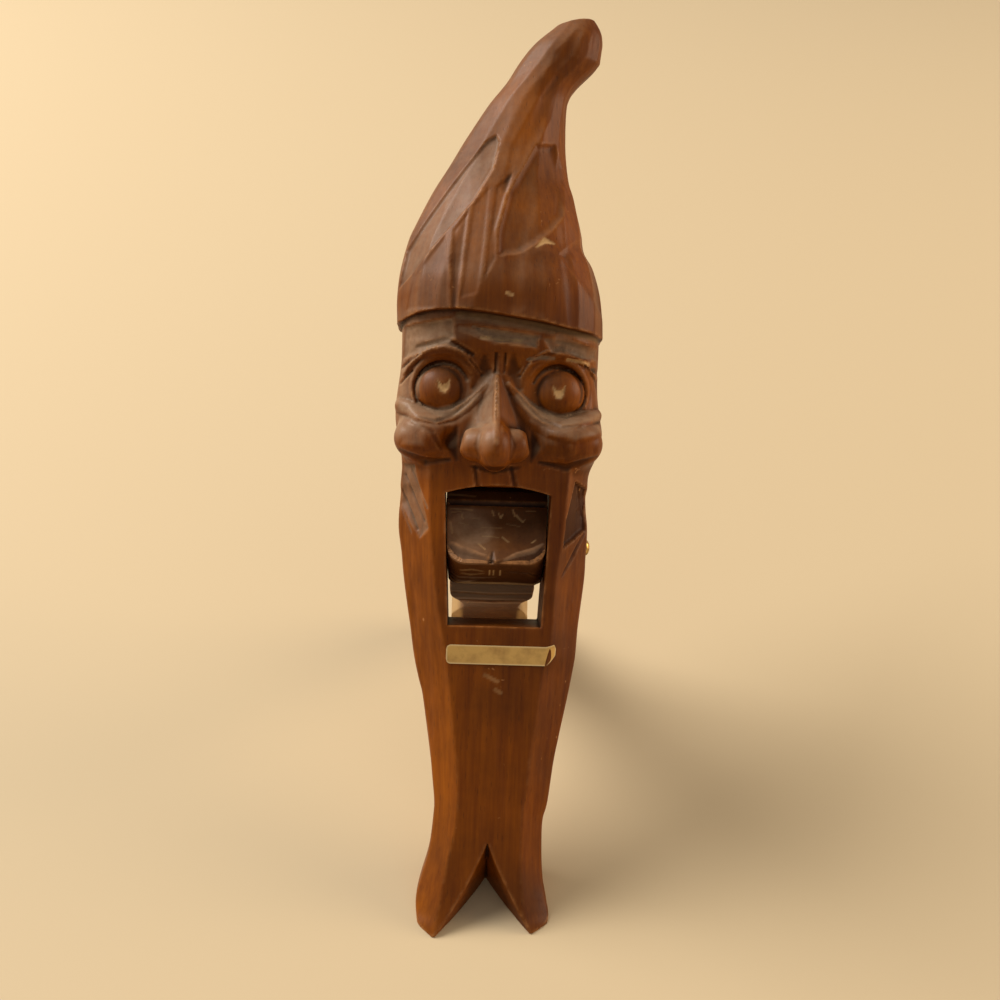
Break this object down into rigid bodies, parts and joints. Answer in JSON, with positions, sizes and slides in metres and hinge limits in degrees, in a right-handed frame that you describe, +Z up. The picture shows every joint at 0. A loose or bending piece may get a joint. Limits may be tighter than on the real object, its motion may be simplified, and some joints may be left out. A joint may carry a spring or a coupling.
{
  "type": "carved wooden nutcracker",
  "caption": "Lever nutcracker carved as a gnome with a bent pointed hat; the jaw turns on a pin in the mouth and its handle props the figure up.",
  "frame": {"origin": "on the floor, under the middle of the whole as it stands", "axes": "+Z up, -Y to the front that the gnome faces, +X to the gnome's left hand"},
  "size_m": [0.0544, 0.1542, 0.1811],
  "materials": {
    "stained_wood": "reddish brown stain under a thin satin lacquer, paler on cut edges",
    "lever_wood": "brown stain worn to pale scuffs on the jaw, raw at the end of the handle",
    "nail_brass": "dull, slightly tarnished",
    "gold_paper": "worn gold foil on paper"
  },
  "bodies": {
    "gnome": {"carved_body": "stained_wood", "pivot_pin": "nail_brass", "paper_label": "gold_paper"},
    "lever": {"jaw_lever": "lever_wood"}
  },
  "joints": [
    {"name": "handle_swing", "type": "hinge", "parent": "gnome", "child": "lever", "pos_m": [0.00045, -0.00843, 0.06946], "axis": [-1, 0, 0], "range_deg": [0, 52]}
  ]
}
